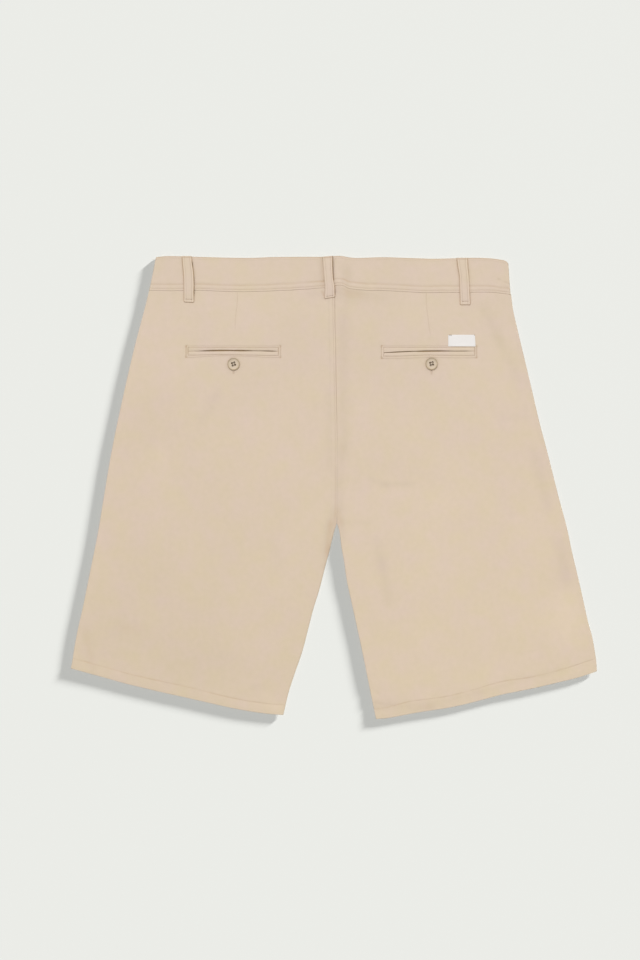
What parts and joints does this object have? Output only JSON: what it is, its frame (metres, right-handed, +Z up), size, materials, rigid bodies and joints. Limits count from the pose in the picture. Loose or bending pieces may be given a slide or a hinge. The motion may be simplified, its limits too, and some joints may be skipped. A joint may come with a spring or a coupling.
{
  "type": "bermuda shorts laid flat",
  "caption": "Knee-length twill bermuda shorts laid flat with the back up: belt loops, double-welt back pockets with buttons, bare woven label.",
  "frame": {"origin": "on the surface, under the middle of the laid-out garment's bounding box", "axes": "+Z up out of the garment's back, +Y towards the waist, +X towards the wearer's right"},
  "size_m": [0.6572, 0.5788, 0.0096],
  "materials": {
    "twill": "matt beige cotton twill",
    "twill_inside": "matt beige cotton twill, inner side",
    "button_horn": "semi-matt beige resin",
    "label_white": "plain white woven tape"
  },
  "bodies": {
    "root": {"back_left": "twill", "back_right": "twill", "front_left": "twill", "front_right": "twill", "waistband_left": "twill", "waistband_right": "twill", "belt_loop_back_left": "twill", "belt_loop_back_center": "twill", "belt_loop_back_right": "twill", "belt_loop_front_left": "twill", "belt_loop_front_right": "twill", "pocket_welt_left_upper": "twill", "pocket_welt_left_lower": "twill", "pocket_welt_right_upper": "twill", "pocket_welt_right_lower": "twill", "pocket_facing_left": "twill_inside", "pocket_facing_right": "twill_inside", "fly_shield": "twill_inside", "pocket_button_left": "button_horn", "pocket_button_right": "button_horn", "waist_button": "button_horn", "label": "label_white"}
  },
  "joints": []
}
